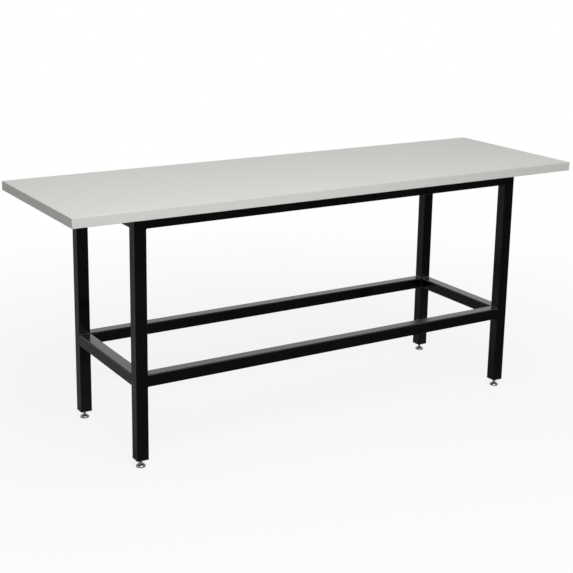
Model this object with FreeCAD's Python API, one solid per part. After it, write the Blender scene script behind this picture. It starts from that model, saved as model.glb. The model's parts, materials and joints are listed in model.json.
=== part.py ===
"""Standing-height meeting table: a laminated top on a welded square-tube frame with a foot rail
all round and four screw-adjusted levelling feet.

Millimetres. The origin is on the floor under the middle of the top. +X runs along the table,
+Y from front to back and +Z up.
"""

import FreeCAD
import Part
import math
import os
from FreeCAD import Vector

# ---- Top -------------------------------------------------------------------------------------
TABLE_HEIGHT = 1050.0  # floor to working surface
TOP_LENGTH = 2400.0
TOP_DEPTH = 750.0
TOP_THICKNESS = 38.0
LAMINATE_THICKNESS = 1.0  # decorative sheet on the working side
BACKER_THICKNESS = 0.8  # balancing sheet on the underside
EDGE_BAND_THICKNESS = 3.0
EDGE_ARRIS_RADIUS = 2.0  # scraped radius on every outer edge of the bands

# ---- Frame -----------------------------------------------------------------------------------
TUBE_SIZE = 50.0
TUBE_WALL = 2.0
TUBE_CORNER_RADIUS = 4.0  # outside
TUBE_LEAST_INSIDE_RADIUS = 0.5
END_OVERHANG = 270.0  # top beyond the legs at each end
SIDE_OVERHANG = 65.0  # top beyond the legs at front and back
FOOT_RAIL_TOP = 384.0  # height of the rail that feet rest on
WELD_LEG = 4.0
WELD_CROWN = 0.62  # how far the bead's face bulges: 0.5 would be a flat face

# ---- Cleats and screws that hold the top down ------------------------------------------------
CLEAT_LEG = 30.0
CLEAT_THICKNESS = 4.0
CLEAT_LENGTH = 40.0
CLEAT_CORNER_RADIUS = 4.0
CLEAT_WELD_LEG = 3.0
LONG_RAIL_CLEATS = 4
END_RAIL_CLEATS = 1
SCREW_RADIUS = 2.5
SCREW_LENGTH = 30.0  # under the head
SCREW_POINT_LENGTH = 5.0
SCREW_POINT_RADIUS = 0.2
SCREW_HEAD_RADIUS = 5.5
SCREW_HEAD_HEIGHT = 3.6
SCREW_HEAD_ROUND = 2.2
SCREW_RECESS_RADIUS = 2.6
SCREW_RECESS_SLOT = 1.2
SCREW_RECESS_DEPTH = 2.0
SCREW_HOLE_CLEARANCE = 0.5  # radial, in the cleat
SCREW_BITE_CLEARANCE = 0.02  # radial, in the board
SCREW_HOLE_SPARE_DEPTH = 2.0

# ---- Threaded inserts in the leg ends --------------------------------------------------------
INSERT_FLANGE_THICKNESS = 5.0
INSERT_FLANGE_LIP = 0.5  # flange beyond the tube on each side
INSERT_FLANGE_ROUND = 1.5
INSERT_PLUG_LENGTH = 25.0
INSERT_RIB_HEIGHT = 1.5  # how far the ribs stand off the plug
INSERT_RIB_THICKNESS = 2.0
INSERT_RIBS = 3
INSERT_WALL = 2.0
INSERT_BOSS_RADIUS = 13.0
INSERT_NUT_SEAT = 14.0  # bottom of the flange to the captive nut

# ---- Levelling feet --------------------------------------------------------------------------
FOOT_GAP = 33.0  # floor to the insert's flange, with the foot at its middle setting
STUD_RADIUS = 5.0
STUD_LENGTH = 63.0  # from the top of the foot's base to the end of the thread
STUD_CHAMFER = 1.0
STUD_HEAD_RADIUS = 7.5  # turned-over end, trapped inside the base
STUD_HEAD_THICKNESS = 2.8
COLLAR_ACROSS_FLATS = 14.0  # hexagon for the spanner that sets the foot
COLLAR_THICKNESS = 5.0
NUT_ACROSS_FLATS = 17.0
NUT_THICKNESS = 8.0
LOCK_NUT_THICKNESS = 5.0
NUT_CHAMFER = 0.8
BASE_RADIUS = 19.0
BASE_TOP = 12.0  # height of the base's crown above the floor
BASE_RIM_HEIGHT = 2.5
BASE_SKIRT_TAPER = 3.8  # how far the skirt draws in between the rim and the knee
BASE_KNEE_DROP = 1.8  # from the crown down to the knee
BASE_CROWN_RADIUS = 9.5
BASE_WALL = 1.5
PAD_THICKNESS = 2.5  # what shows of the pad under the base's rim
PAD_INSET = 0.7  # pad inside the base's rim
PAD_SPIGOT_HEIGHT = 1.5
PAD_SPIGOT_CLEARANCE = 0.1  # radial, in the base
PAD_POST_RADIUS = 8.5
THREAD_CLEARANCE = 0.05  # radial, stud in a nut
SWIVEL_CLEARANCE = 0.1  # radial, stud in the base
END_PLAY = 0.3  # along the stud, between it and the base
STUD_HOLE_CLEARANCE = 0.4  # radial, stud in the plastic insert

# ---- Values that follow ----------------------------------------------------------------------
UNDERSIDE = TABLE_HEIGHT - TOP_THICKNESS
FRAME_LENGTH = TOP_LENGTH - 2 * END_OVERHANG
FRAME_DEPTH = TOP_DEPTH - 2 * SIDE_OVERHANG
LEG_X = (FRAME_LENGTH - TUBE_SIZE) / 2
LEG_Y = (FRAME_DEPTH - TUBE_SIZE) / 2
LEG_BOTTOM = FOOT_GAP + INSERT_FLANGE_THICKNESS
TUBE_INSIDE = TUBE_SIZE - 2 * TUBE_WALL
TUBE_INSIDE_RADIUS = max(TUBE_CORNER_RADIUS - TUBE_WALL, TUBE_LEAST_INSIDE_RADIUS)
TUBE_FLAT = TUBE_SIZE - 2 * TUBE_CORNER_RADIUS
UPPER_RAIL_Z = UNDERSIDE - TUBE_SIZE / 2
FOOT_RAIL_Z = FOOT_RAIL_TOP - TUBE_SIZE / 2
LONG_RAIL_LENGTH = FRAME_LENGTH - 2 * TUBE_SIZE
END_RAIL_LENGTH = FRAME_DEPTH - 2 * TUBE_SIZE
NUT_BORE_RADIUS = STUD_RADIUS + THREAD_CLEARANCE

X = Vector(1, 0, 0)
Y = Vector(0, 1, 0)
Z = Vector(0, 0, 1)
LEGS = {
    "front_left": (-1, -1),
    "front_right": (1, -1),
    "back_left": (-1, 1),
    "back_right": (1, 1),
}

parts = {}


# ---- Shape helpers ---------------------------------------------------------------------------
def block(length, depth, height, low_z):
    """A box centred on the Z axis."""
    return Part.makeBox(length, depth, height, Vector(-length / 2, -depth / 2, low_z))


def upright_edges(shape):
    """The straight edges that run along Z."""
    found = []
    for edge in shape.Edges:
        start, end = edge.Vertexes[0].Point, edge.Vertexes[-1].Point
        if abs(start.x - end.x) < 1e-6 and abs(start.y - end.y) < 1e-6:
            found.append(edge)
    return found


def rounded_block(side, height, low_z, radius):
    """A square bar on the Z axis with rounded upright corners."""
    bar = block(side, side, height, low_z)
    return bar.makeFillet(radius, upright_edges(bar))


def hexagon(across_flats, height, low_z):
    """A hexagonal prism on the Z axis."""
    corner_radius = across_flats / 2 / math.cos(math.pi / 6)
    corners = []
    for i in range(7):
        angle = i * math.pi / 3
        corners.append(Vector(corner_radius * math.cos(angle), corner_radius * math.sin(angle), low_z))
    return Part.Face(Part.makePolygon(corners)).extrude(Z * height)


def chamfered_hexagon(across_flats, height, low_z):
    """A hexagon with its corners turned off at both ends, as a nut's are."""
    blank = hexagon(across_flats, height, low_z)
    corner_radius = across_flats / 2 / math.cos(math.pi / 6)
    rim = corner_radius - NUT_CHAMFER
    low = Part.makeCone(rim, rim + height, height, Vector(0, 0, low_z))
    high = Part.makeCone(rim + height, rim, height, Vector(0, 0, low_z))
    return blank.common(low).common(high)


def turned(profile):
    """A solid turned about the Z axis from (radius, height) points."""
    points = [Vector(r, 0, z) for r, z in profile]
    points.append(points[0])
    return Part.Face(Part.makePolygon(points)).revolve(Vector(0, 0, 0), Z, 360)


def rod(radius, low_z, high_z):
    return Part.makeCylinder(radius, high_z - low_z, Vector(0, 0, low_z))


def moved(shape, x, y, z=0.0):
    copy = shape.copy()
    copy.translate(Vector(x, y, z))
    return copy


def square_tube(length):
    """A tube centred on the origin, along Z."""
    outside = rounded_block(TUBE_SIZE, length, -length / 2, TUBE_CORNER_RADIUS)
    inside = rounded_block(TUBE_INSIDE, length, -length / 2, TUBE_INSIDE_RADIUS)
    return outside.cut(inside)


# ---- Top -------------------------------------------------------------------------------------
def make_top(screw_places):
    """The board, its two sheets and its four edge bands. The bands are cut from one rounded
    blank, so their scraped edges run on round the corners. The end bands fit between the long
    ones."""
    board_length = TOP_LENGTH - 2 * EDGE_BAND_THICKNESS
    board_depth = TOP_DEPTH - 2 * EDGE_BAND_THICKNESS
    core_low = UNDERSIDE + BACKER_THICKNESS
    core_high = TABLE_HEIGHT - LAMINATE_THICKNESS
    core = block(board_length, board_depth, core_high - core_low, core_low)
    backer = block(board_length, board_depth, BACKER_THICKNESS, UNDERSIDE)
    hole_radius = SCREW_RADIUS + SCREW_BITE_CLEARANCE
    hole_top = UNDERSIDE + SCREW_LENGTH - CLEAT_THICKNESS + SCREW_HOLE_SPARE_DEPTH
    for x, y in screw_places:
        hole = moved(rod(hole_radius, UNDERSIDE, hole_top), x, y)
        core = core.cut(hole)
        backer = backer.cut(hole)
    parts["top_core"] = core
    parts["underside_sheet"] = backer
    parts["top_laminate"] = block(board_length, board_depth, LAMINATE_THICKNESS, core_high)

    blank = block(TOP_LENGTH, TOP_DEPTH, TOP_THICKNESS, UNDERSIDE)
    blank = blank.makeFillet(EDGE_ARRIS_RADIUS, blank.Edges)
    long_strip = block(TOP_LENGTH, EDGE_BAND_THICKNESS, TOP_THICKNESS, UNDERSIDE)
    end_strip = block(EDGE_BAND_THICKNESS, board_depth, TOP_THICKNESS, UNDERSIDE)
    strip_y = (TOP_DEPTH - EDGE_BAND_THICKNESS) / 2
    strip_x = (TOP_LENGTH - EDGE_BAND_THICKNESS) / 2
    parts["edge_band_front"] = blank.common(moved(long_strip, 0, -strip_y))
    parts["edge_band_back"] = blank.common(moved(long_strip, 0, strip_y))
    parts["edge_band_left_end"] = blank.common(moved(end_strip, -strip_x, 0))
    parts["edge_band_right_end"] = blank.common(moved(end_strip, strip_x, 0))


# ---- Frame -----------------------------------------------------------------------------------
def make_frame():
    """Four full-height legs, and two rings of rails butted between them."""
    leg = square_tube(UNDERSIDE - LEG_BOTTOM)
    for place, (side_x, side_y) in LEGS.items():
        parts["leg_" + place] = moved(leg, side_x * LEG_X, side_y * LEG_Y, (UNDERSIDE + LEG_BOTTOM) / 2)

    long_rail = square_tube(LONG_RAIL_LENGTH)
    long_rail.rotate(Vector(0, 0, 0), Y, 90)
    end_rail = square_tube(END_RAIL_LENGTH)
    end_rail.rotate(Vector(0, 0, 0), X, 90)
    for ring, height in (("upper_rail_", UPPER_RAIL_Z), ("foot_rail_", FOOT_RAIL_Z)):
        parts[ring + "front"] = moved(long_rail, 0, -LEG_Y, height)
        parts[ring + "back"] = moved(long_rail, 0, LEG_Y, height)
        parts[ring + "left"] = moved(end_rail, -LEG_X, 0, height)
        parts[ring + "right"] = moved(end_rail, LEG_X, 0, height)


def weld_bead(corner, along_one, along_other, run, length, leg=WELD_LEG):
    """A fillet weld in the corner between two faces, centred on the corner point."""
    start = corner - run * (length / 2)
    toe_one = start + along_one * leg
    toe_other = start + along_other * leg
    crown = start + (along_one + along_other) * (leg * WELD_CROWN)
    face_edge = Part.Arc(toe_one, crown, toe_other).toShape()
    sides = [Part.makeLine(start, toe_one), face_edge, Part.makeLine(toe_other, start)]
    return Part.Face(Part.Wire(sides)).extrude(run * length)


def groove_weld(corner, towards_leg, inward, length):
    """The flush weld that fills a leg's rounded corner up to the end of a rail, along Z."""
    radius = TUBE_CORNER_RADIUS
    start = corner - Z * (length / 2)
    rail_toe = start + inward * radius
    leg_toe = start + towards_leg * radius
    centre = start + (towards_leg + inward) * radius
    deepest = centre - (towards_leg + inward) * (radius / math.sqrt(2))
    root_edge = Part.Arc(leg_toe, deepest, rail_toe).toShape()
    sides = [Part.makeLine(rail_toe, start), Part.makeLine(start, leg_toe), root_edge]
    return Part.Face(Part.Wire(sides)).extrude(Z * length)


def corner_welds(side_x, side_y, rail_z, bead_above):
    """All the welds where a long rail and an end rail meet one leg."""
    in_x = X * -side_x
    in_y = Y * -side_y
    half = TUBE_SIZE / 2
    leg = Vector(side_x * LEG_X, side_y * LEG_Y, rail_z)
    long_joint = leg + in_x * half
    end_joint = leg + in_y * half
    inner_corner = leg + in_x * half + in_y * half
    welds = [
        groove_weld(long_joint - in_y * half, in_x * -1, in_y, TUBE_FLAT),
        groove_weld(end_joint - in_x * half, in_y * -1, in_x, TUBE_FLAT),
        groove_weld(inner_corner, in_x * -1, in_y * -1, TUBE_FLAT),
        weld_bead(inner_corner, in_x, in_y, Z, TUBE_FLAT),
    ]
    for up in (-1, 1) if bead_above else (-1,):
        lift = Z * (up * half)
        welds.append(weld_bead(long_joint + lift, in_x, Z * up, Y, TUBE_FLAT))
        welds.append(weld_bead(end_joint + lift, in_y, Z * up, X, TUBE_FLAT))
    return Part.makeCompound(welds)


def make_welds():
    for place, (side_x, side_y) in LEGS.items():
        parts["upper_weld_" + place] = corner_welds(side_x, side_y, UPPER_RAIL_Z, False)
        parts["foot_rail_weld_" + place] = corner_welds(side_x, side_y, FOOT_RAIL_Z, True)


# ---- Cleats and screws -----------------------------------------------------------------------
def cleat_places():
    """(x, y, turn about Z) for each cleat, on the inner faces of the upper rails."""
    inner_y = LEG_Y - TUBE_SIZE / 2
    inner_x = LEG_X - TUBE_SIZE / 2
    places = []
    for i in range(LONG_RAIL_CLEATS):
        x = LONG_RAIL_LENGTH * ((i + 0.5) / LONG_RAIL_CLEATS - 0.5)
        places.append((x, -inner_y, 0))
        places.append((x, inner_y, 180))
    for i in range(END_RAIL_CLEATS):
        y = END_RAIL_LENGTH * ((i + 0.5) / END_RAIL_CLEATS - 0.5)
        places.append((-inner_x, y, 270))
        places.append((inner_x, y, 90))
    return places


def place_on_rail(shape, place):
    x, y, turn = place
    copy = shape.copy()
    copy.rotate(Vector(0, 0, 0), Z, turn)
    copy.translate(Vector(x, y, UNDERSIDE))
    return copy


def make_cleats():
    """Angle cleats welded to the rails, each with one screw up into the board. The pattern
    cleat stands against a face at y = 0, reaches towards +Y and has its top at z = 0.
    Returns the places of the screws."""
    shelf_corner = Vector(-CLEAT_LENGTH / 2, 0, -CLEAT_THICKNESS)
    shelf = Part.makeBox(CLEAT_LENGTH, CLEAT_LEG, CLEAT_THICKNESS, shelf_corner)
    nose_edges = [e for e in upright_edges(shelf) if e.Vertexes[0].Y > CLEAT_LEG / 2]
    shelf = shelf.makeFillet(CLEAT_CORNER_RADIUS, nose_edges)
    web_corner = Vector(-CLEAT_LENGTH / 2, 0, -CLEAT_LEG)
    web = Part.makeBox(CLEAT_LENGTH, CLEAT_THICKNESS, CLEAT_LEG, web_corner)
    hole_y = (CLEAT_THICKNESS + CLEAT_LEG) / 2
    hole = rod(SCREW_RADIUS + SCREW_HOLE_CLEARANCE, -CLEAT_THICKNESS, 0)
    cleat = shelf.fuse(web).removeSplitter().cut(moved(hole, 0, hole_y))

    weld_length = CLEAT_LEG - TUBE_CORNER_RADIUS
    welds = []
    for side in (-1, 1):
        root = Vector(side * CLEAT_LENGTH / 2, 0, -TUBE_CORNER_RADIUS - weld_length / 2)
        welds.append(weld_bead(root, X * side, Y, Z, weld_length, CLEAT_WELD_LEG))
    welds = Part.makeCompound(welds)

    head_top = -CLEAT_THICKNESS
    head_low = head_top - SCREW_HEAD_HEIGHT
    shank_top = head_top + SCREW_LENGTH
    shank = rod(SCREW_RADIUS, head_top, shank_top - SCREW_POINT_LENGTH)
    point_low = Vector(0, 0, shank_top - SCREW_POINT_LENGTH)
    point = Part.makeCone(SCREW_RADIUS, SCREW_POINT_RADIUS, SCREW_POINT_LENGTH, point_low)
    head = rod(SCREW_HEAD_RADIUS, head_low, head_top)
    low_rim = [e for e in head.Edges if e.BoundBox.ZMax < head_low + 0.01]
    head = head.makeFillet(SCREW_HEAD_ROUND, low_rim)
    slot = block(2 * SCREW_RECESS_RADIUS, SCREW_RECESS_SLOT, SCREW_RECESS_DEPTH, head_low)
    cross_slot = block(SCREW_RECESS_SLOT, 2 * SCREW_RECESS_RADIUS, SCREW_RECESS_DEPTH, head_low)
    screw = head.fuse(shank).fuse(point).removeSplitter().cut(slot).cut(cross_slot)
    screw = moved(screw, 0, hole_y)

    places = cleat_places()
    parts["top_cleats"] = Part.makeCompound([place_on_rail(cleat, p) for p in places])
    parts["cleat_welds"] = Part.makeCompound([place_on_rail(welds, p) for p in places])
    screws = [place_on_rail(screw, p) for p in places]
    parts["top_screws"] = Part.makeCompound(screws)
    return [(s.BoundBox.Center.x, s.BoundBox.Center.y) for s in screws]


# ---- Inserts and levelling feet --------------------------------------------------------------
def make_insert():
    """A ribbed plastic plug with a flange that closes the tube and a boss round the nut."""
    flange_side = TUBE_SIZE + 2 * INSERT_FLANGE_LIP
    flange_radius = TUBE_CORNER_RADIUS + INSERT_FLANGE_LIP
    flange = rounded_block(flange_side, INSERT_FLANGE_THICKNESS, FOOT_GAP, flange_radius)
    low_rim = [e for e in flange.Edges if e.BoundBox.ZMax < FOOT_GAP + 0.01]
    flange = flange.makeFillet(INSERT_FLANGE_ROUND, low_rim)
    plug_side = TUBE_INSIDE - 2 * INSERT_RIB_HEIGHT
    cavity_side = plug_side - 2 * INSERT_WALL
    body = flange.fuse(rounded_block(plug_side, INSERT_PLUG_LENGTH, LEG_BOTTOM, TUBE_INSIDE_RADIUS))
    rib_pitch = INSERT_PLUG_LENGTH / INSERT_RIBS
    for i in range(INSERT_RIBS):
        rib_low = LEG_BOTTOM + rib_pitch * (i + 0.5) - INSERT_RIB_THICKNESS / 2
        body = body.fuse(rounded_block(TUBE_INSIDE, INSERT_RIB_THICKNESS, rib_low, TUBE_INSIDE_RADIUS))
    cavity = block(cavity_side, cavity_side, INSERT_PLUG_LENGTH, LEG_BOTTOM)
    body = body.cut(cavity.cut(rod(INSERT_BOSS_RADIUS, LEG_BOTTOM, LEG_BOTTOM + INSERT_PLUG_LENGTH)))
    nut_low = FOOT_GAP + INSERT_NUT_SEAT
    body = body.cut(hexagon(NUT_ACROSS_FLATS, NUT_THICKNESS, nut_low))
    bore = rod(STUD_RADIUS + STUD_HOLE_CLEARANCE, FOOT_GAP, LEG_BOTTOM + INSERT_PLUG_LENGTH)
    nut = hexagon(NUT_ACROSS_FLATS, NUT_THICKNESS, nut_low)
    nut = nut.cut(rod(NUT_BORE_RADIUS, nut_low, nut_low + NUT_THICKNESS))
    return body.removeSplitter().cut(bore), nut


def make_lock_nut():
    low = FOOT_GAP - LOCK_NUT_THICKNESS
    nut = chamfered_hexagon(NUT_ACROSS_FLATS, LOCK_NUT_THICKNESS, low)
    return nut.cut(rod(NUT_BORE_RADIUS, low, FOOT_GAP))


def inner_wall(outline, wall):
    """The sheet's other face: each corner of an outline, moved inwards by the wall's thickness."""
    facings = []
    for (start_r, start_z), (end_r, end_z) in zip(outline, outline[1:]):
        run = math.hypot(end_r - start_r, end_z - start_z)
        facings.append(Vector(start_z - end_z, 0, end_r - start_r) * (1 / run))
    inner = []
    for (r, z), before, after in zip(outline, facings[:1] + facings, facings + facings[-1:]):
        shift = (before + after) * (wall / (1 + before.dot(after)))
        inner.append((r + shift.x, z + shift.z))
    return inner


def make_base():
    """The bell-shaped cup, pressed from sheet, that stands on the pad and carries the stud."""
    outline = [
        (BASE_RADIUS, PAD_THICKNESS),
        (BASE_RADIUS, PAD_THICKNESS + BASE_RIM_HEIGHT),
        (BASE_RADIUS - BASE_SKIRT_TAPER, BASE_TOP - BASE_KNEE_DROP),
        (BASE_CROWN_RADIUS, BASE_TOP),
        (STUD_RADIUS + SWIVEL_CLEARANCE, BASE_TOP),
    ]
    return turned(outline + inner_wall(outline, BASE_WALL)[::-1])


def make_pad():
    """The moulded pad under the base: a disc, a spigot that centres it in the cup and a post
    that backs the stud's head."""
    disc = rod(BASE_RADIUS - PAD_INSET, 0, PAD_THICKNESS)
    low_rim = [e for e in disc.Edges if e.BoundBox.ZMax < 0.01]
    disc = disc.makeFillet(PAD_INSET, low_rim)
    spigot_radius = BASE_RADIUS - BASE_WALL - PAD_SPIGOT_CLEARANCE
    spigot = rod(spigot_radius, PAD_THICKNESS, PAD_THICKNESS + PAD_SPIGOT_HEIGHT)
    post_top = BASE_TOP - BASE_WALL - STUD_HEAD_THICKNESS - 2 * END_PLAY
    post = rod(PAD_POST_RADIUS, PAD_THICKNESS, post_top)
    return disc.fuse(spigot).fuse(post).removeSplitter()


def make_stud():
    """The threaded stud, with its trapped head and its spanner collar."""
    head_top = BASE_TOP - BASE_WALL - END_PLAY
    collar_low = BASE_TOP + END_PLAY
    head = rod(STUD_HEAD_RADIUS, head_top - STUD_HEAD_THICKNESS, head_top)
    shank = rod(STUD_RADIUS, head_top - STUD_HEAD_THICKNESS, BASE_TOP + STUD_LENGTH)
    top_rim = [e for e in shank.Edges if e.BoundBox.ZMin > BASE_TOP + STUD_LENGTH - 0.01]
    shank = shank.makeChamfer(STUD_CHAMFER, top_rim)
    collar = chamfered_hexagon(COLLAR_ACROSS_FLATS, COLLAR_THICKNESS, collar_low)
    return head.fuse(shank).fuse(collar).removeSplitter()


def make_feet():
    insert, captive_nut = make_insert()
    pattern = {
        "leg_insert_": insert,
        "captive_nut_": captive_nut,
        "lock_nut_": make_lock_nut(),
        "foot_stud_": make_stud(),
        "foot_base_": make_base(),
        "foot_pad_": make_pad(),
    }
    for place, (side_x, side_y) in LEGS.items():
        for name, shape in pattern.items():
            parts[name + place] = moved(shape, side_x * LEG_X, side_y * LEG_Y)


make_top(make_cleats())
make_frame()
make_welds()
make_feet()

os.makedirs("parts", exist_ok=True)
for name, shape in parts.items():
    shape.exportStep(os.path.join("parts", name + ".step"))
print(len(parts), "nodes")
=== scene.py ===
"""Finishes, fine pieces, light and camera for the standing-height meeting table.

Metres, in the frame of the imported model: the origin is on the floor under the middle of the top,
+X along the table, +Y from front to back and +Z up.
"""

import json
import math

import bmesh
import bpy
from mathutils import Matrix, Vector


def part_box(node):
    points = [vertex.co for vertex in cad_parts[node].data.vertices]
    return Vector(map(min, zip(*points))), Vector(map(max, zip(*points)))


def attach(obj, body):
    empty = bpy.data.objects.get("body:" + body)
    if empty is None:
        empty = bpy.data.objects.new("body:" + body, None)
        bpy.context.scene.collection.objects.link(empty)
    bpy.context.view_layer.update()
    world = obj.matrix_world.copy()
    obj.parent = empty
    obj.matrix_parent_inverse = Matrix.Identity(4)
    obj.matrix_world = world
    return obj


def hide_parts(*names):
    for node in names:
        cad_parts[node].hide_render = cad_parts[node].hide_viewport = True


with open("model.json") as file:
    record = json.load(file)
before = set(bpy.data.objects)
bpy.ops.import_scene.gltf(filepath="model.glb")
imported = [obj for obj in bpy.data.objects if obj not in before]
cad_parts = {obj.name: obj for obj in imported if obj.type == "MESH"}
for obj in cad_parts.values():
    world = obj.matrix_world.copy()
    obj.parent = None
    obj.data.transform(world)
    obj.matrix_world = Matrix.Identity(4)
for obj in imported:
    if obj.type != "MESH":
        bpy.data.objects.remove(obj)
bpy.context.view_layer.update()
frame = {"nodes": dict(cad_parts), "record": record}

MM = 0.001
PLACES = ("front_left", "front_right", "back_left", "back_right")

# ---- Sizes of the fine pieces. What the solids have too is as in the part's source -----------
STUD_RADIUS = 5.0 * MM
STUD_TRIM_RADIUS = 5.05 * MM  # of the bar that chamfers the end of the thread
STUD_END_CHAMFER = 1.1 * MM
STUD_HEAD_RADIUS = 7.5 * MM
STUD_HEAD_THICKNESS = 2.8 * MM
STUD_HEAD_ROUND = 0.6 * MM
THREAD_PITCH = 1.5 * MM
THREAD_ROOT_RADIUS = 4.15 * MM
COLLAR_ACROSS_FLATS = 14.0 * MM
COLLAR_THICKNESS = 5.0 * MM
COLLAR_GAP = 0.3 * MM  # over the crown of the base
NUT_ACROSS_FLATS = 17.0 * MM
NUT_CHAMFER = 0.8 * MM
NUT_BORE_RADIUS = 5.05 * MM
NUT_COUNTERSINK = 0.5 * MM
BASE_HOLE_RADIUS = 5.1 * MM
BASE_CROWN_RADIUS = 9.5 * MM
BASE_RIM_HEIGHT = 2.5 * MM
BASE_SKIRT_TAPER = 3.8 * MM
BASE_KNEE_DROP = 1.8 * MM
BASE_WALL = 1.5 * MM
BASE_SOFT_CORNERS = (1.6 * MM, 1.8 * MM, 0.8 * MM)  # at the crown, the knee and the shoulder
BASE_EDGE_ROUND = 0.25 * MM
TUBE_SIZE = 50.0 * MM
TUBE_CORNER_RADIUS = 4.0 * MM
WELD_LEG = 4.0 * MM
CLEAT_LEG = 30.0 * MM
CLEAT_THICKNESS = 4.0 * MM
CLEAT_LENGTH = 40.0 * MM
CLEAT_CORNER_RADIUS = 4.0 * MM
CLEAT_ROOT_RADIUS = 4.0 * MM
CLEAT_TOE_RADIUS = 2.5 * MM
CLEAT_EDGE_ROUND = 0.3 * MM
CLEAT_HOLE_RADIUS = 3.0 * MM
CLEAT_WELD_LEG = 3.0 * MM
LONG_RAIL_CLEATS = 4
SCREW_Y = 17.0 * MM  # from the face of the rail
SCREW_RADIUS = 2.5 * MM
SCREW_TRIM_RADIUS = 2.55 * MM  # of the pencil that trims the thread to a point
SCREW_ROOT_RADIUS = 1.7 * MM
SCREW_PITCH = 2.2 * MM
SCREW_LENGTH = 30.0 * MM
SCREW_POINT_LENGTH = 5.0 * MM
SCREW_HEAD_RADIUS = 5.5 * MM
SCREW_HEAD_HEIGHT = 3.6 * MM
SCREW_HEAD_ROUND = 2.2 * MM
SCREW_RECESS_RADIUS = 2.6 * MM
SCREW_RECESS_SLOT = 1.2 * MM
SCREW_RECESS_DEPTH = 2.0 * MM

# ---- Shapes, as shares of a size -------------------------------------------------------------
ROOT_FLAT, FLANK, CREST_FLAT = 0.25, 0.3125, 0.125  # of a thread's pitch
TURNED_CORNERS = 1.003  # of a hexagon's corner radius: the bar that turns its corners off
SCREW_TIP = 0.08  # of the pencil's width, at the point
RECESS_FLOOR = 0.45  # of the recess's width at its mouth
BEAD_ARC_CENTRE = -0.48167  # of a weld's leg: a circle through both toes, with a low crown
BEAD_ARC_RADIUS = 1.558
BEAD_RIPPLE = (1.0, 0.99, 0.965)  # of its size: the rings of one ripple
BEAD_END = 0.6  # of its size: its last ring
BEAD_END_RINGS = 3  # over which it dies away

# ---- How finely the pieces are meshed --------------------------------------------------------
ROUND_SIDES = 64  # faces round a turned piece
SMALL_ROUND_SIDES = 32  # faces round a screw's rod or hole
BEAD_SIDES = 56  # faces round the whole circle that a bead is a slice of
THREAD_STEPS = 24  # faces round one turn of a thread
RIPPLE_STEP = 0.7 * MM  # along a weld, from one ring of its mesh to the next
NEAR = 0.01 * MM  # an edge or a point at a height or a radius is this near to it
SAME_POINT = 0.0001 * MM  # points nearer to each other than this become one
OVERLAP = 1.0 * MM  # how far a cutter reaches past a piece, or a rod into its head

# ---- Sizes of the patterns -------------------------------------------------------------------
PEBBLE = 1.2 * MM  # really about 0.4 mm, drawn coarser so that it shows
LAMINATE_CLOUD = 350.0 * MM
BAND_LINE = 1.5 * MM  # across; really about 0.3 mm, drawn coarser so that it shows
BAND_LINE_STRETCH = 50.0  # how many times as long as it is wide
FIBRE_FLECK = 4.0 * MM
WOOD_CHIP = 4.0 * MM
ORANGE_PEEL = 2.5 * MM
COAT_PATCH = 120.0 * MM
ZINC_CLOUD = 3.0 * MM
PRESS_RING = 0.9425 * MM  # from ring to ring
WAVES_PER_UNIT = 10.0 / math.pi  # of Blender's wave pattern at a scale of 1
SPARK_GRAIN = 0.8 * MM  # really about 0.1 mm, drawn coarser so that it shows
NYLON_CLOUD = 6.0 * MM

# ---- Sockets that share a name, by number ----------------------------------------------------
FACTOR = 0  # of a Mix or Mix Shader node
COLOUR_A, COLOUR_B, MIXED_COLOUR = 6, 7, 2  # of a Mix node that mixes colours
SHADER_A, SHADER_B = 1, 2  # of a Mix Shader node

# ---- Light and camera ------------------------------------------------------------------------
WHITE = (1.0, 1.0, 1.0, 1.0)
FLOOR_SIZE = 60.0
SOFT_BOX_SIZE = (3.0, 2.0)
SOFT_BOX_WATTS = 89.0
SOFT_BOX_PLACE = (-0.8, -2.5, 3.1)
SOFT_BOX_TARGET = (0.0, 0.0, 0.9)
SENSOR_WIDTH = 36.0  # in mm, as is the lens
LENS = 76.38
LENS_SHIFT = -0.10  # of the sensor's width: lowers the view without tilting the camera
CAMERA_PLACE = (-2.752, -4.324, 2.0565)
CAMERA_YAW = 31.764  # degrees, from +Y towards +X
CAMERA_PITCH = 13.870  # degrees, downwards
CAMERA_ROLL = 0.966  # degrees, raising the camera's right side


# ---- Small helpers ---------------------------------------------------------------------------
def linear(hex_colour):
    """An sRGB hex colour as the linear RGBA that a shader wants."""
    channels = []
    for i in (0, 2, 4):
        c = int(hex_colour[i:i + 2], 16) / 255
        channels.append(c / 12.92 if c <= 0.04045 else ((c + 0.055) / 1.055) ** 2.4)
    return (*channels, 1.0)


def add(tree, kind, settings=(), links=()):
    """Adds a node. Settings go to its own properties or to its inputs, by name or number, and
    links join its inputs to other nodes' outputs."""
    node = tree.nodes.new(kind)
    for key, value in dict(settings).items():
        if isinstance(key, str) and hasattr(node, key):
            setattr(node, key, value)
        else:
            node.inputs[key].default_value = value
    for key, socket in dict(links).items():
        tree.links.new(socket, node.inputs[key])
    return node


def new_material(name):
    """An empty material, its node tree and the Object coordinates that its patterns read."""
    material = bpy.data.materials.new(name)
    material.use_nodes = True
    tree = material.node_tree
    tree.nodes.clear()
    place = add(tree, "ShaderNodeTexCoord").outputs["Object"]
    return material, tree, place


def finish_material(tree, settings, links):
    """Adds the surface, with what is the same all over it and what a pattern drives."""
    surface = add(tree, "ShaderNodeBsdfPrincipled", settings, links)
    add(tree, "ShaderNodeOutputMaterial", (), {"Surface": surface.outputs["BSDF"]})


def over_middle(node, z=0.0):
    """The point at this height on the upright line through the middle of a CAD node."""
    low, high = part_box(node)
    return Vector(((low.x + high.x) / 2, (low.y + high.y) / 2, z))


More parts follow.
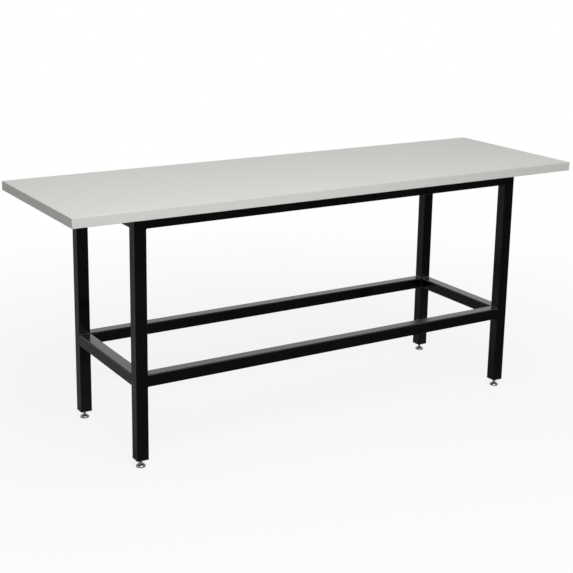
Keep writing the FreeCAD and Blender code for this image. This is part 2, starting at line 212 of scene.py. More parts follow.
# ---- Materials -------------------------------------------------------------------------------
def grey_laminate():
    """High-pressure laminate, pressed against a fine pebbled sheet: plain pale grey with a soft
    satin sheen and a texture that only shows close up."""
    material, tree, place = new_material("pebbled_grey_laminate")
    pebbles = add(
        tree, "ShaderNodeTexNoise", {"Scale": 1 / PEBBLE, "Detail": 2.0}, {"Vector": place}
    )
    clouds = add(
        tree, "ShaderNodeTexNoise", {"Scale": 1 / LAMINATE_CLOUD, "Detail": 3.0}, {"Vector": place}
    )
    tint = add(
        tree,
        "ShaderNodeMix",
        {"data_type": "RGBA", COLOUR_A: linear("CCCCC8"), COLOUR_B: linear("D2D2CE")},
        {FACTOR: clouds.outputs["Fac"]},
    )
    sheen = add(
        tree,
        "ShaderNodeMapRange",
        {"From Min": 0.3, "From Max": 0.7, "To Min": 0.44, "To Max": 0.52},
        {"Value": clouds.outputs["Fac"]},
    )
    bump = add(
        tree,
        "ShaderNodeBump",
        {"Strength": 0.25, "Distance": 0.03 * MM},
        {"Height": pebbles.outputs["Fac"]},
    )
    finish_material(
        tree,
        {"IOR": 1.5},
        {
            "Base Color": tint.outputs[MIXED_COLOUR],
            "Roughness": sheen.outputs["Result"],
            "Normal": bump.outputs["Normal"],
        },
    )
    return material


def edge_band(name, along):
    """ABS edge band, extruded and then scraped to a round arris: the laminate's grey, a shade
    darker and a little smoother, with faint lines along its run. It runs along X, axis 0, or
    along Y, axis 1."""
    material, tree, place = new_material(name)
    squeeze = [1.0, 1.0, 1.0]
    squeeze[along] = 1 / BAND_LINE_STRETCH
    run = add(tree, "ShaderNodeMapping", {"Scale": squeeze}, {"Vector": place})
    lines = add(
        tree,
        "ShaderNodeTexNoise",
        {"Scale": 1 / BAND_LINE, "Detail": 2.0},
        {"Vector": run.outputs["Vector"]},
    )
    tint = add(
        tree,
        "ShaderNodeMix",
        {"data_type": "RGBA", COLOUR_A: linear("C3C3BF"), COLOUR_B: linear("C9C9C5")},
        {FACTOR: lines.outputs["Fac"]},
    )
    bump = add(
        tree,
        "ShaderNodeBump",
        {"Strength": 0.3, "Distance": 0.02 * MM},
        {"Height": lines.outputs["Fac"]},
    )
    finish_material(
        tree,
        {"Roughness": 0.42, "IOR": 1.5},
        {"Base Color": tint.outputs[MIXED_COLOUR], "Normal": bump.outputs["Normal"]},
    )
    return material


def backing_sheet():
    """Balancing laminate: a thin plain grey sheet with a dull surface and a faint fibre fleck."""
    material, tree, place = new_material("dull_balancing_sheet")
    fleck = add(
        tree, "ShaderNodeTexNoise", {"Scale": 1 / FIBRE_FLECK, "Detail": 4.0}, {"Vector": place}
    )
    tint = add(
        tree,
        "ShaderNodeMix",
        {"data_type": "RGBA", COLOUR_A: linear("C2C2BC"), COLOUR_B: linear("CECEC9")},
        {FACTOR: fleck.outputs["Fac"]},
    )
    bump = add(
        tree,
        "ShaderNodeBump",
        {"Strength": 0.2, "Distance": 0.04 * MM},
        {"Height": fleck.outputs["Fac"]},
    )
    finish_material(
        tree,
        {"Roughness": 0.62, "IOR": 1.5},
        {"Base Color": tint.outputs[MIXED_COLOUR], "Normal": bump.outputs["Normal"]},
    )
    return material


def chipboard():
    """Bare chipboard: pressed pale wood chips, a few millimetres each, in several browns."""
    material, tree, place = new_material("bare_chipboard")
    chips = add(
        tree, "ShaderNodeTexVoronoi", {"Scale": 1 / WOOD_CHIP, "Randomness": 1.0}, {"Vector": place}
    )
    shade = add(tree, "ShaderNodeSeparateColor", (), {"Color": chips.outputs["Color"]})
    tint = add(
        tree,
        "ShaderNodeMix",
        {"data_type": "RGBA", COLOUR_A: linear("A98654"), COLOUR_B: linear("D9BF92")},
        {FACTOR: shade.outputs["Red"]},
    )
    bump = add(
        tree,
        "ShaderNodeBump",
        {"Strength": 0.5, "Distance": 0.3 * MM},
        {"Height": chips.outputs["Distance"]},
    )
    finish_material(
        tree,
        {"Roughness": 0.85},
        {"Base Color": tint.outputs[MIXED_COLOUR], "Normal": bump.outputs["Normal"]},
    )
    return material


def powder_coat():
    """Polyester powder coat baked on steel: deep black with a satin gloss, and the low waves
    of orange peel that soften every reflection."""
    material, tree, place = new_material("black_satin_powder_coat")
    peel = add(
        tree, "ShaderNodeTexNoise", {"Scale": 1 / ORANGE_PEEL, "Detail": 1.0}, {"Vector": place}
    )
    patches = add(
        tree, "ShaderNodeTexNoise", {"Scale": 1 / COAT_PATCH, "Detail": 3.0}, {"Vector": place}
    )
    gloss = add(
        tree,
        "ShaderNodeMapRange",
        {"From Min": 0.3, "From Max": 0.7, "To Min": 0.17, "To Max": 0.23},
        {"Value": patches.outputs["Fac"]},
    )
    tint = add(
        tree,
        "ShaderNodeMix",
        {"data_type": "RGBA", COLOUR_A: linear("020202"), COLOUR_B: linear("060606")},
        {FACTOR: patches.outputs["Fac"]},
    )
    bump = add(
        tree,
        "ShaderNodeBump",
        {"Strength": 0.3, "Distance": 0.02 * MM},
        {"Height": peel.outputs["Fac"]},
    )
    finish_material(
        tree,
        {"IOR": 1.5},
        {
            "Base Color": tint.outputs[MIXED_COLOUR],
            "Roughness": gloss.outputs["Result"],
            "Normal": bump.outputs["Normal"],
        },
    )
    return material


def zinc_plate():
    """Bright zinc plate on turned steel: a cool light metal with a soft, slightly cloudy shine."""
    material, tree, place = new_material("bright_zinc_plate")
    clouds = add(
        tree, "ShaderNodeTexNoise", {"Scale": 1 / ZINC_CLOUD, "Detail": 4.0}, {"Vector": place}
    )
    tint = add(
        tree,
        "ShaderNodeMix",
        {"data_type": "RGBA", COLOUR_A: linear("B9BCC0"), COLOUR_B: linear("D6D8DA")},
        {FACTOR: clouds.outputs["Fac"]},
    )
    gloss = add(
        tree,
        "ShaderNodeMapRange",
        {"From Min": 0.3, "From Max": 0.7, "To Min": 0.36, "To Max": 0.5},
        {"Value": clouds.outputs["Fac"]},
    )
    finish_material(
        tree,
        {"Metallic": 1.0},
        {"Base Color": tint.outputs[MIXED_COLOUR], "Roughness": gloss.outputs["Result"]},
    )
    return material


def pressed_plate_painted_dark():
    """Zinc plate over drawn sheet: sharper than on the turned pieces, with the faint rings that the
    press leaves round the axis of each foot. Its colour is painted darker than the turned zinc,
    as painted shade that stands in for the dark reflections along its sides. The feet stand
    alike on both sides of the middle, so rings round one of them in mirrored coordinates serve
    all four."""
    material, tree, place = new_material("drawn_zinc_sheet_painted_dark")
    mirrored = add(tree, "ShaderNodeVectorMath", {"operation": "ABSOLUTE"}, {0: place})
    from_axis = add(
        tree,
        "ShaderNodeVectorMath",
        {"operation": "SUBTRACT", 1: over_middle("foot_base_back_right")},
        {0: mirrored.outputs["Vector"]},
    )
    rings = add(
        tree,
        "ShaderNodeTexWave",
        {
            "wave_type": "RINGS",
            "rings_direction": "Z",
            "Scale": 1 / (PRESS_RING * WAVES_PER_UNIT),
            "Distortion": 0.6,
        },
        {"Vector": from_axis.outputs["Vector"]},
    )
    gloss = add(
        tree,
        "ShaderNodeMapRange",
        {"To Min": 0.14, "To Max": 0.22},
        {"Value": rings.outputs["Fac"]},
    )
    finish_material(
        tree,
        # painted shade: a darker zinc than on the turned pieces, for the dark reflections of its
        # sides
        {"Base Color": linear("7A7C80"), "Metallic": 1.0},
        {"Roughness": gloss.outputs["Result"]},
    )
    return material


def moulded_plastic():
    """Injection-moulded black polyethylene from a spark-eroded tool: dull, with a fine grain."""
    material, tree, place = new_material("moulded_black_polyethylene")
    grain = add(
        tree, "ShaderNodeTexNoise", {"Scale": 1 / SPARK_GRAIN, "Detail": 2.0}, {"Vector": place}
    )
    tint = add(
        tree,
        "ShaderNodeMix",
        {"data_type": "RGBA", COLOUR_A: linear("0C0C0C"), COLOUR_B: linear("141414")},
        {FACTOR: grain.outputs["Fac"]},
    )
    bump = add(
        tree,
        "ShaderNodeBump",
        {"Strength": 0.4, "Distance": 0.05 * MM},
        {"Height": grain.outputs["Fac"]},
    )
    finish_material(
        tree,
        {"Roughness": 0.5, "IOR": 1.5},
        {"Base Color": tint.outputs[MIXED_COLOUR], "Normal": bump.outputs["Normal"]},
    )
    return material


def natural_nylon():
    """Injection-moulded natural nylon: milky off-white that lets a little light in."""
    material, tree, place = new_material("natural_nylon")
    cloud = add(
        tree, "ShaderNodeTexNoise", {"Scale": 1 / NYLON_CLOUD, "Detail": 2.0}, {"Vector": place}
    )
    tint = add(
        tree,
        "ShaderNodeMix",
        {"data_type": "RGBA", COLOUR_A: linear("D2D1C8"), COLOUR_B: linear("E0DFD8")},
        {FACTOR: cloud.outputs["Fac"]},
    )
    bump = add(
        tree,
        "ShaderNodeBump",
        {"Strength": 0.2, "Distance": 0.05 * MM},
        {"Height": cloud.outputs["Fac"]},
    )
    finish_material(
        tree,
        {"Roughness": 0.45, "IOR": 1.53, "Subsurface Weight": 0.15, "Subsurface Scale": 1.0 * MM},
        {"Base Color": tint.outputs[MIXED_COLOUR], "Normal": bump.outputs["Normal"]},
    )
    return material


def dress(piece, material):
    """Gives a piece one material all over."""
    piece.data.materials.clear()
    piece.data.materials.append(material)


FINISHES = {
    "board": chipboard(),
    "laminate": grey_laminate(),
    "backing_sheet": backing_sheet(),
    "edge_band": edge_band("scraped_abs_band_long", along=0),
    "powder_coated_steel": powder_coat(),
    "zinc_steel": zinc_plate(),
    "insert_plastic": moulded_plastic(),
    "pad_plastic": natural_nylon(),
}
end_band = edge_band("scraped_abs_band_end", along=1)
for row in frame["record"]["subparts"]:
    finish = end_band if row["node"].endswith("_end") else FINISHES[row["material_slot"]]
    for material_slot in frame["nodes"][row["node"]].material_slots:
        material_slot.material = finish


# ---- Modelling helpers -----------------------------------------------------------------------
def begin(primitive, **size):
    """Adds a primitive by itself, fixes its place in its mesh and opens it for editing."""
    bpy.ops.object.select_all(action="DESELECT")
    primitive(**size)
    bpy.ops.object.transform_apply(location=True, rotation=True, scale=True)
    bpy.ops.object.mode_set(mode="EDIT")


def begin_bar(sides, radius, low, high, axis=(0.0, 0.0), degrees=0.0):
    """Begins an upright bar with this many sides, turned by this much."""
    begin(
        bpy.ops.mesh.primitive_cylinder_add,
        vertices=sides,
        radius=radius,
        depth=high - low,
        location=(*axis, (low + high) / 2),
        rotation=(0, 0, math.radians(degrees)),
    )


def begin_block(low, high, degrees=0.0):
    """Begins a block between two corners, turned by this much about its own middle."""
    begin(
        bpy.ops.mesh.primitive_cube_add,
        size=1.0,
        scale=[b - a for a, b in zip(low, high)],
        location=[(a + b) / 2 for a, b in zip(low, high)],
        rotation=(0, 0, math.radians(degrees)),
    )


def pick(kind, wanted):
    """Selects only the vertices, edges or faces that wanted() says yes to."""
    bpy.ops.mesh.select_mode(type=kind)
    bpy.ops.mesh.select_all(action="DESELECT")
    work = bmesh.from_edit_mesh(bpy.context.object.data)
    for item in {"VERT": work.verts, "EDGE": work.edges, "FACE": work.faces}[kind]:
        item.select_set(bool(wanted(item)))
    work.select_flush_mode()
    bmesh.update_edit_mesh(bpy.context.object.data)


def level_at(z):
    """Says whether an edge lies level at this height."""
    return lambda edge: all(abs(v.co.z - z) < NEAR for v in edge.verts)


def round_at(radius):
    """Says whether both ends of an edge are this far from the Z axis."""
    return lambda edge: all(abs(v.co.xy.length - radius) < NEAR for v in edge.verts)


def rises(height):
    """Says whether an edge rises by more than this."""
    return lambda edge: abs(edge.verts[0].co.z - edge.verts[1].co.z) > height


def faces_up(face):
    """Says whether a face looks straight up."""
    return face.normal.z > 0.99


def push(x=0.0, y=0.0, z=0.0):
    """Extrudes what is selected."""
    bpy.ops.mesh.extrude_region_move(TRANSFORM_OT_translate={"value": (x, y, z)})


def widen(share, centre):
    """Scales what is selected in X and Y, about this point."""
    bpy.ops.transform.resize(value=(share, share, 1), center_override=centre)


def bevel(offset, segments=1):
    """Chamfers the selected edges, or rounds them with more segments."""
    bpy.ops.mesh.bevel(offset=offset, segments=segments, affect="EDGES")


def slice_off(place, outward):
    """Cuts the whole mesh at a plane, throws away the outward side and closes the cut."""
    bpy.ops.mesh.select_all(action="SELECT")
    bpy.ops.mesh.bisect(plane_co=place, plane_no=outward, use_fill=True, clear_outer=True)


def end(name):
    """Turns the faces outwards, leaves edit mode and returns the piece."""
    bpy.ops.mesh.select_mode(type="VERT")
    bpy.ops.mesh.select_all(action="SELECT")
    bpy.ops.mesh.remove_doubles(threshold=SAME_POINT)
    bpy.ops.mesh.normals_make_consistent(inside=False)
    bpy.ops.object.mode_set(mode="OBJECT")
    piece = bpy.context.object
    piece.name = piece.data.name = name
    return piece


def hold(piece):
    """Selects this piece alone and makes it the active one."""
    bpy.ops.object.select_all(action="DESELECT")
    bpy.context.view_layer.objects.active = piece
    piece.select_set(True)


def modify(piece, kind, **settings):
    """Adds a modifier and applies it."""
    hold(piece)
    modifier = piece.modifiers.new(kind.lower(), kind)
    for key, value in settings.items():
        setattr(modifier, key, value)
    bpy.ops.object.modifier_apply(modifier=modifier.name)


def round_edges(piece, width, degrees):
    """Rounds the edges that are sharper than this angle."""
    modify(
        piece,
        "BEVEL",
        width=width,
        segments=2,
        limit_method="ANGLE",
        angle_limit=math.radians(degrees),
    )


def combine(piece, other, how):
    """Joins another closed piece to this one, cuts it out or keeps what they share."""
    modify(piece, "BOOLEAN", operation=how, solver="EXACT", object=other)
    bpy.data.objects.remove(other)
    return piece


def smooth(piece, degrees):
    """Rounds the shading, except across edges sharper than this."""
    hold(piece)
    bpy.ops.object.shade_smooth_by_angle(angle=math.radians(degrees))


def copy_to(pattern, name, places):
    """One piece made of a copy of the pattern's mesh at each place."""
    bpy.ops.object.select_all(action="DESELECT")
    for place in places:
        copy = pattern.copy()
        copy.data = pattern.data.copy()
        copy.data.transform(place)
        bpy.context.scene.collection.objects.link(copy)
        copy.select_set(True)
        bpy.context.view_layer.objects.active = copy
    if len(places) > 1:
        bpy.ops.object.join()
    piece = bpy.context.view_layer.objects.active
    piece.name = piece.data.name = name
    return piece


def turn(degrees, axis):
    """A turn about the X, Y or Z axis, as a matrix."""
    return Matrix.Rotation(math.radians(degrees), 4, axis)


def fit(piece, node, body, material_slot, finish=None):
    """Stands a finished piece in for its CAD node, on the same body and in the same finish,
    unless it has one of its own."""
    dress(piece, finish or FINISHES[material_slot])
    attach(piece, body)
    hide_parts(node)


# ---- Turned pieces ---------------------------------------------------------------------------
def thread(crest, root, pitch, low, high):
    """A right-hand thread: the outline of one turn, wound up the Z axis and cut square."""
    begin(bpy.ops.mesh.primitive_plane_add, size=pitch / 8, location=(root, 0, low - pitch))
    bpy.ops.mesh.merge(type="CENTER")  # leaves one point, which draws the outline
    depth = crest - root
    for out, rise in ((0, ROOT_FLAT), (depth, FLANK), (0, CREST_FLAT), (-depth, FLANK)):
        step = (out, 0, rise * pitch)
        bpy.ops.mesh.extrude_vertices_move(TRANSFORM_OT_translate={"value": step})
    bpy.ops.object.mode_set(mode="OBJECT")
    modify(
        bpy.context.object,
        "SCREW",
        axis="Z",
        screw_offset=pitch,
        iterations=math.ceil((high - low) / pitch) + 2,  # a turn to spare at each end
        steps=THREAD_STEPS,
        render_steps=THREAD_STEPS,
        use_merge_vertices=True,
        merge_threshold=SAME_POINT,
    )
    bpy.ops.object.mode_set(mode="EDIT")
    bpy.ops.mesh.select_all(action="SELECT")
    bpy.ops.mesh.remove_doubles(threshold=SAME_POINT)
    slice_off((0, 0, low), (0, 0, -1))
    slice_off((0, 0, high), (0, 0, 1))
    return end("thread")


def round_bar(radius, low, high, bevel_low=0.0, bevel_high=0.0, segments=1):
    """A round bar, with its two rims bevelled if asked."""
    begin_bar(ROUND_SIDES, radius, low, high)
    for rim, offset in ((low, bevel_low), (high, bevel_high)):
        if offset:
            pick("EDGE", level_at(rim))
            bevel(offset, segments)
    return end("bar")


def turned_hexagon(across_flats, low, high):
    """Hexagon bar with its corners turned off at both ends."""
    corner_radius = across_flats / math.sqrt(3)
    begin_bar(6, corner_radius, low, high, degrees=30)
    blank = end("hexagon")
    bar = round_bar(corner_radius * TURNED_CORNERS, low, high, NUT_CHAMFER, NUT_CHAMFER)
    return combine(blank, bar, "INTERSECT")


# ---- Levelling feet --------------------------------------------------------------------------
def make_stud():
    """The levelling stud: rolled thread, hexagon collar, neck and turned-over head."""
    stud_low, stud_high = (corner.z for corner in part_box("foot_stud_front_left"))
    head_top = stud_low + STUD_HEAD_THICKNESS
    collar_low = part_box("foot_base_front_left")[1].z + COLLAR_GAP
    collar_high = collar_low + COLLAR_THICKNESS
    collar_middle = (collar_low + collar_high) / 2
    begin_bar(ROUND_SIDES, STUD_HEAD_RADIUS, stud_low, head_top)
    pick("EDGE", lambda e: level_at(stud_low)(e) or level_at(head_top)(e))
    bevel(STUD_HEAD_ROUND, segments=3)
    pick("FACE", faces_up)
    bpy.ops.mesh.inset(thickness=STUD_HEAD_RADIUS - STUD_HEAD_ROUND - STUD_RADIUS)
    push(z=collar_middle - head_top)
    stud = end("stud")
    combine(stud, turned_hexagon(COLLAR_ACROSS_FLATS, collar_low, collar_high), "UNION")
    rod = thread(STUD_RADIUS, THREAD_ROOT_RADIUS, THREAD_PITCH, collar_middle, stud_high)
    trim = round_bar(
        STUD_TRIM_RADIUS, collar_middle - OVERLAP, stud_high, bevel_high=STUD_END_CHAMFER
    )
    combine(stud, combine(rod, trim, "INTERSECT"), "UNION")
    smooth(stud, degrees=32)
    return stud


def make_base():
    """The foot's bell-shaped cup, pressed from 1.5 mm sheet: a small flat crown, a gentle slope
    to the knee, a steep skirt and a short rim, with the soft corners that a press leaves."""
    low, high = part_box("foot_base_front_left")
    rim_radius = (high.x - low.x) / 2
    crown = (BASE_CROWN_RADIUS, high.z)
    knee = (rim_radius - BASE_SKIRT_TAPER, high.z - BASE_KNEE_DROP)
    shoulder = (rim_radius, low.z + BASE_RIM_HEIGHT)
    begin(
        bpy.ops.mesh.primitive_circle_add,
        vertices=ROUND_SIDES,
        radius=BASE_HOLE_RADIUS,
        fill_type="NOTHING",
        location=(0, 0, high.z),
    )
    was_radius, was_z = BASE_HOLE_RADIUS, high.z
    for radius, z in (crown, knee, shoulder, (rim_radius, low.z)):
        push(z=z - was_z)
        widen(radius / was_radius, (0, 0, z))
        was_radius, was_z = radius, z
    for (radius, z), soft in zip((crown, knee, shoulder), BASE_SOFT_CORNERS):
        pick("EDGE", lambda e: level_at(z)(e) and round_at(radius)(e))
        bevel(soft, segments=4)
    base = end("base")
    modify(base, "SOLIDIFY", thickness=BASE_WALL, offset=-1.0, use_even_offset=True)
    round_edges(base, BASE_EDGE_ROUND, degrees=60)
    smooth(base, degrees=40)
    return base


def make_lock_nut():
    """A thin M10 nut, with a countersink at each end of its bore."""
    low, high = (corner.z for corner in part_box("lock_nut_front_left"))
    nut = turned_hexagon(NUT_ACROSS_FLATS, low, high)
    combine(nut, round_bar(NUT_BORE_RADIUS, low - OVERLAP, high + OVERLAP), "DIFFERENCE")
    hold(nut)
    bpy.ops.object.mode_set(mode="EDIT")
    bore = round_at(NUT_BORE_RADIUS)
    pick("EDGE", lambda e: bore(e) and (level_at(low)(e) or level_at(high)(e)))
    bevel(NUT_COUNTERSINK)
    nut = end("nut")
    smooth(nut, degrees=32)
    return nut


def fit_feet():
    """A stud, a base and a lock nut at each foot."""
    patterns = (
        (make_stud(), "foot_stud_", "stud_", "_threaded", None),
        (make_base(), "foot_base_", "foot_", "_pressed", pressed_plate_painted_dark()),
        (make_lock_nut(), "lock_nut_", None, "_chamfered", None),
    )
    for place in PLACES:
        spot = Matrix.Translation(over_middle("foot_base_" + place))
        for pattern, node, body, ending, finish in patterns:
            piece = copy_to(pattern, node + place + ending, [spot])
            fit(piece, node + place, body + place if body else "table", "zinc_steel", finish)
    for pattern, *_ in patterns:
        bpy.data.objects.remove(pattern)


# ---- Welds -----------------------------------------------------------------------------------
def weld_bead(leg, length, name):
    """A fillet weld in the corner of the planes x = 0 and y = 0, along Z: overlapping ripples
    that die away at both ends."""
    centre = BEAD_ARC_CENTRE * leg
    begin_bar(BEAD_SIDES, BEAD_ARC_RADIUS * leg, -length / 2, length / 2, axis=(centre, centre))
    rings = round(length / RIPPLE_STEP)
    pick("EDGE", rises(length / 2))
    bpy.ops.mesh.subdivide(number_cuts=rings - 1)
    for k in range(rings + 1):
        z = (k / rings - 0.5) * length
        pick("VERT", lambda v: abs(v.co.z - z) < NEAR)
        widen(BEAD_RIPPLE[k % len(BEAD_RIPPLE)], (centre, centre, z))
        from_end = min(k, rings - k) / BEAD_END_RINGS
        if from_end < 1:
            widen(BEAD_END + (1 - BEAD_END) * math.sqrt(1 - (1 - from_end) ** 2), (0, 0, z))
    slice_off((0, 0, 0), (-1, 0, 0))
    slice_off((0, 0, 0), (0, -1, 0))
    bead = end(name)
    smooth(bead, degrees=40)
    return bead


def flush_weld(length):
    """The dressed weld between a tube's rounded corner and the end of a rail, along Z: square
    outside, hollow where it lies on the corner."""
    r = TUBE_CORNER_RADIUS
    begin_block((-r, 0, -length / 2), (0, r, length / 2))
    block = end("flush_weld")
    begin_bar(ROUND_SIDES, r, -length / 2 - OVERLAP, length / 2 + OVERLAP, axis=(-r, r))
    combine(block, end("corner"), "DIFFERENCE")
    smooth(block, degrees=30)
    return block


def fit_welds():
    """The welds round each leg, laid out for the front left one and turned for the others."""
    half = TUBE_SIZE / 2
    run = TUBE_SIZE - 2 * TUBE_CORNER_RADIUS
    bead = weld_bead(WELD_LEG, run, "bead")
    flush = flush_weld(run)
    at = Matrix.Translation
    flush_places = [
        at((half, -half, 0)),
        at((-half, half, 0)) @ turn(180, "Z"),
        at((half, half, 0)) @ turn(90, "Z"),
    ]
    bead_below = [
        at((half, half, 0)),
        at((half, 0, -half)) @ turn(-90, "X"),
        at((0, half, -half)) @ turn(-90, "Y") @ turn(90, "Z"),
    ]
    bead_above = [
        at((half, 0, half)) @ turn(90, "X"),
        at((0, half, half)) @ turn(90, "Y") @ turn(90, "Z"),
    ]
    rings = (
        ("upper_weld_", "upper_rail_front", bead_below),
        ("foot_rail_weld_", "foot_rail_front", bead_below + bead_above),
    )
    for place, degrees in zip(PLACES, (0, 90, -90, 180)):
        for node, rail, beads in rings:
            rail_low, rail_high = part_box(rail)
            joint = over_middle("leg_" + place, (rail_low.z + rail_high.z) / 2)
            spot = at(joint) @ turn(degrees, "Z")
            dressed = copy_to(flush, "dressed", [spot @ m for m in flush_places])
            laid = copy_to(bead, "laid", [spot @ m for m in beads])
            dressed.select_set(True)
            laid.select_set(True)
            bpy.ops.object.join()
            laid.name = laid.data.name = node + place + "_rippled"
            fit(laid, node + place, "table", "powder_coated_steel")
    bpy.data.objects.remove(bead)
    bpy.data.objects.remove(flush)


# ---- Cleats and screws -----------------------------------------------------------------------
def make_cleat():
    """Hot-rolled angle, 30 x 30 x 4: a filled root, round toes and cropped nose corners. It
    stands against a face at y = 0, reaches towards +Y and has its top at z = 0."""
    half = CLEAT_LENGTH / 2
    begin_block((-half, 0, -CLEAT_THICKNESS), (half, CLEAT_LEG, 0))
    bpy.ops.mesh.select_all(action="SELECT")
    bpy.ops.mesh.bisect(plane_co=(0, CLEAT_THICKNESS, 0), plane_no=(0, 1, 0))
    pick("FACE", lambda f: f.normal.z < -0.99 and f.calc_center_median().y < CLEAT_THICKNESS)
    push(z=CLEAT_THICKNESS - CLEAT_LEG)

    def along_x(y, z):
        """Says whether an edge runs along X at this y and z."""
        return lambda edge: level_at(z)(edge) and all(abs(v.co.y - y) < NEAR for v in edge.verts)

    for y, z, radius in (
        (CLEAT_THICKNESS, -CLEAT_THICKNESS, CLEAT_ROOT_RADIUS),
        (CLEAT_LEG, -CLEAT_THICKNESS, CLEAT_TOE_RADIUS),
        (CLEAT_THICKNESS, -CLEAT_LEG, CLEAT_TOE_RADIUS),
    ):
        pick("EDGE", along_x(y, z))
        bevel(radius, segments=6)
    cleat = end("cleat")
    begin_block((-half, -CLEAT_LEG, -2 * CLEAT_LEG), (half, CLEAT_LEG, 2 * CLEAT_LEG))
    pick("EDGE", rises(CLEAT_LEG))
    bevel(CLEAT_CORNER_RADIUS, segments=6)
    combine(cleat, end("outline"), "INTERSECT")
    begin_bar(
        SMALL_ROUND_SIDES, CLEAT_HOLE_RADIUS, -CLEAT_THICKNESS - OVERLAP, OVERLAP, axis=(0, SCREW_Y)
    )
    combine(cleat, end("hole"), "DIFFERENCE")
    round_edges(cleat, CLEAT_EDGE_ROUND, degrees=50)
    smooth(cleat, degrees=35)
    return cleat


def make_screw():
    """Pan-head chipboard screw, head down: a domed head with a cross recess and a coarse
    thread to a point."""
    head_high = -CLEAT_THICKNESS
    head_low = head_high - SCREW_HEAD_HEIGHT
    tip = head_high + SCREW_LENGTH
    screw = round_bar(SCREW_HEAD_RADIUS, head_low, head_high, SCREW_HEAD_ROUND, segments=6)
    rod = thread(SCREW_RADIUS, SCREW_ROOT_RADIUS, SCREW_PITCH, head_high - OVERLAP, tip)
    point = tip - SCREW_POINT_LENGTH
    begin_bar(SMALL_ROUND_SIDES, SCREW_TRIM_RADIUS, head_high - 2 * OVERLAP, point)
    pick("FACE", faces_up)
    push(z=SCREW_POINT_LENGTH)
    widen(SCREW_TIP, (0, 0, tip))
    combine(screw, combine(rod, end("pencil"), "INTERSECT"), "UNION")
    recess = Vector((SCREW_RECESS_RADIUS, SCREW_RECESS_SLOT / 2, SCREW_RECESS_DEPTH))
    for degrees in (0, 90):
        mouth = Vector((0, 0, head_low))
        begin_block(mouth - recess, mouth + recess, degrees)
        pick("FACE", faces_up)
        widen(RECESS_FLOOR, (0, 0, head_low + SCREW_RECESS_DEPTH))
        combine(screw, end("wing"), "DIFFERENCE")
    smooth(screw, degrees=32)
    return screw


def fit_cleats():
    """Cleats along the inner faces of the upper rails, each with its screw and its two beads."""
    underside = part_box("underside_sheet")[0].z
    inner_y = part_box("upper_rail_back")[0].y
    inner_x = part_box("upper_rail_right")[0].x
    rail_low, rail_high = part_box("upper_rail_front")
    places = []
    for i in range(LONG_RAIL_CLEATS):
        x = (rail_high.x - rail_low.x) * ((i + 0.5) / LONG_RAIL_CLEATS - 0.5)
        places += [(x, -inner_y, 0), (x, inner_y, 180)]
    places += [(-inner_x, 0, 270), (inner_x, 0, 90)]
    at = Matrix.Translation
    spots = [at((x, y, underside)) @ turn(degrees, "Z") for x, y, degrees in places]
    bead_length = CLEAT_LEG - TUBE_CORNER_RADIUS
    middle = -TUBE_CORNER_RADIUS - bead_length / 2
    sides = [
        at((CLEAT_LENGTH / 2, 0, middle)),
        at((-CLEAT_LENGTH / 2, 0, middle)) @ turn(90, "Z"),
    ]
    bead = weld_bead(CLEAT_WELD_LEG, bead_length, "cleat_bead")
    cleat, screw = make_cleat(), make_screw()
    screw.data.transform(at((0, SCREW_Y, 0)))
    fit(copy_to(cleat, "top_cleats_rolled", spots), "top_cleats", "table", "powder_coated_steel")
    fit(copy_to(screw, "top_screws_threaded", spots), "top_screws", "table", "zinc_steel")
    beads = copy_to(bead, "cleat_welds_rippled", [spot @ side for spot in spots for side in sides])
    fit(beads, "cleat_welds", "table", "powder_coated_steel")
    for pattern in (cleat, screw, bead):
        bpy.data.objects.remove(pattern)


fit_feet()
fit_welds()
fit_cleats()


# ---- Floor, backdrop, light and camera -------------------------------------------------------
def make_floor():
    """A plain pale floor that fades to a white backdrop and keeps the table's soft shadow.
    Reflections see it dimmer, most of all in front, which keeps the black coat deep."""
    bpy.ops.object.select_all(action="DESELECT")
    bpy.ops.mesh.primitive_plane_add(size=FLOOR_SIZE)
    floor = bpy.context.object
    floor.name = "floor"
    material, tree, place = new_material("pale_studio_floor")
    path = add(tree, "ShaderNodeLightPath")
    plain = add(tree, "ShaderNodeBsdfDiffuse", {"Color": linear("E8E8E8")})
    white = add(tree, "ShaderNodeEmission", {"Color": WHITE, "Strength": 1.0})
    # In metres: the camera sees the floor turn white between 1.2 and 3.5 from the middle, and
    # reflections see it brighten from 0.6 in front of the middle to 0.4 behind it.
    far = add(tree, "ShaderNodeVectorMath", {"operation": "LENGTH"}, {0: place})
    fade = add(
        tree,
        "ShaderNodeMapRange",
        {"From Min": 1.2, "From Max": 3.5, "To Min": 0.84, "To Max": 1.0},
        {"Value": far.outputs["Value"]},
    )
    seen = add(
        tree,
        "ShaderNodeMixShader",
        (),
        {
            FACTOR: fade.outputs["Result"],
            SHADER_A: plain.outputs["BSDF"],
            SHADER_B: white.outputs["Emission"],
        },
    )
    y = add(tree, "ShaderNodeSeparateXYZ", (), {"Vector": place}).outputs["Y"]
    dim = add(
        tree,
        "ShaderNodeMapRange",
        {"From Min": -0.6, "From Max": 0.4, "To Min": 0.08, "To Max": 0.4},
        {"Value": y},
    )
    reflected = add(tree, "ShaderNodeBsdfDiffuse", (), {"Color": dim.outputs["Result"]})
    unseen = add(
        tree,
        "ShaderNodeMixShader",
        (),
        {
            FACTOR: path.outputs["Is Glossy Ray"],
            SHADER_A: plain.outputs["BSDF"],
            SHADER_B: reflected.outputs["BSDF"],
        },
    )
    surface = add(
        tree,
        "ShaderNodeMixShader",
        (),
        {
            FACTOR: path.outputs["Is Camera Ray"],
            SHADER_A: unseen.outputs["Shader"],
            SHADER_B: seen.outputs["Shader"],
        },
    )
    add(tree, "ShaderNodeOutputMaterial", (), {"Surface": surface.outputs["Shader"]})
    dress(floor, material)


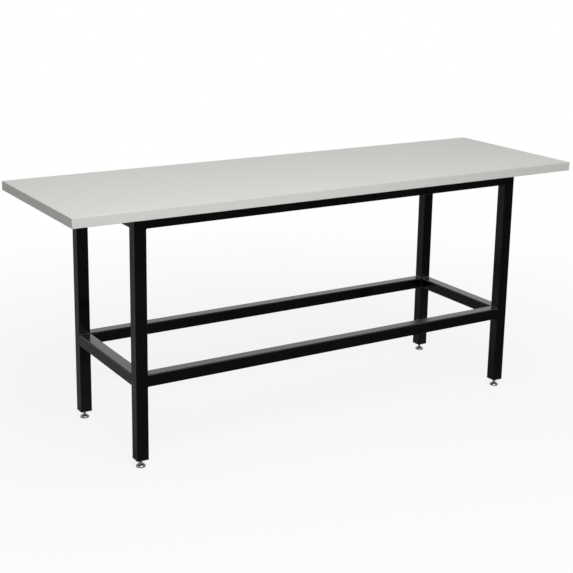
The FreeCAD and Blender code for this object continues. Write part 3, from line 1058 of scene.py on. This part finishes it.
def make_world():
    """A soft light from all round, stronger from above. The camera sees plain white instead,
    and so do reflections."""
    world = bpy.data.worlds.new("white_studio")
    bpy.context.scene.world = world
    world.use_nodes = True
    tree = world.node_tree
    tree.nodes.clear()
    path = add(tree, "ShaderNodeLightPath")
    way = add(tree, "ShaderNodeTexCoord").outputs["Generated"]
    rise = add(tree, "ShaderNodeSeparateXYZ", (), {"Vector": way}).outputs["Z"]
    sky = add(tree, "ShaderNodeMapRange", {"To Min": 0.22, "To Max": 0.57}, {"Value": rise})
    ambient = add(
        tree, "ShaderNodeBackground", {"Color": WHITE}, {"Strength": sky.outputs["Result"]}
    )
    white = add(tree, "ShaderNodeBackground", {"Color": WHITE, "Strength": 1.0})
    shown = path.outputs["Is Camera Ray"]
    for ray in ("Is Glossy Ray", "Is Transmission Ray"):
        either = add(
            tree, "ShaderNodeMath", {"operation": "MAXIMUM"}, {0: shown, 1: path.outputs[ray]}
        )
        shown = either.outputs["Value"]
    surface = add(
        tree,
        "ShaderNodeMixShader",
        (),
        {
            FACTOR: shown,
            SHADER_A: ambient.outputs["Background"],
            SHADER_B: white.outputs["Background"],
        },
    )
    add(tree, "ShaderNodeOutputWorld", (), {"Surface": surface.outputs["Shader"]})


def make_key_light():
    """One large soft box, high up in front of the left half of the table."""
    light = bpy.data.lights.new("soft_box", "AREA")
    light.shape = "RECTANGLE"
    light.size, light.size_y = SOFT_BOX_SIZE
    light.energy = SOFT_BOX_WATTS
    soft_box = bpy.data.objects.new("soft_box", light)
    bpy.context.scene.collection.objects.link(soft_box)
    way = Vector(SOFT_BOX_TARGET) - Vector(SOFT_BOX_PLACE)
    aim = way.to_track_quat("-Z", "Y").to_matrix().to_4x4()
    soft_box.matrix_world = Matrix.Translation(SOFT_BOX_PLACE) @ aim


def make_camera():
    """A long lens, from the front left and above the top."""
    view = bpy.data.cameras.new("camera")
    view.sensor_width = SENSOR_WIDTH
    view.lens = LENS
    view.shift_y = LENS_SHIFT
    yaw, pitch, roll = (math.radians(a) for a in (CAMERA_YAW, CAMERA_PITCH, CAMERA_ROLL))
    level = Vector((math.cos(yaw), -math.sin(yaw), 0))
    forward = Vector((math.sin(yaw), math.cos(yaw), 0))
    ahead = math.cos(pitch) * forward - math.sin(pitch) * Vector((0, 0, 1))
    up = level.cross(ahead)
    right = math.cos(roll) * level + math.sin(roll) * up
    upward = -math.sin(roll) * level + math.cos(roll) * up
    aim = Matrix((right, upward, -ahead)).transposed().to_4x4()
    camera = bpy.data.objects.new("camera", view)
    bpy.context.scene.collection.objects.link(camera)
    camera.matrix_world = Matrix.Translation(CAMERA_PLACE) @ aim
    bpy.context.scene.camera = camera


make_floor()
make_world()
make_key_light()
make_camera()
bpy.context.scene.view_settings.view_transform = "Standard"
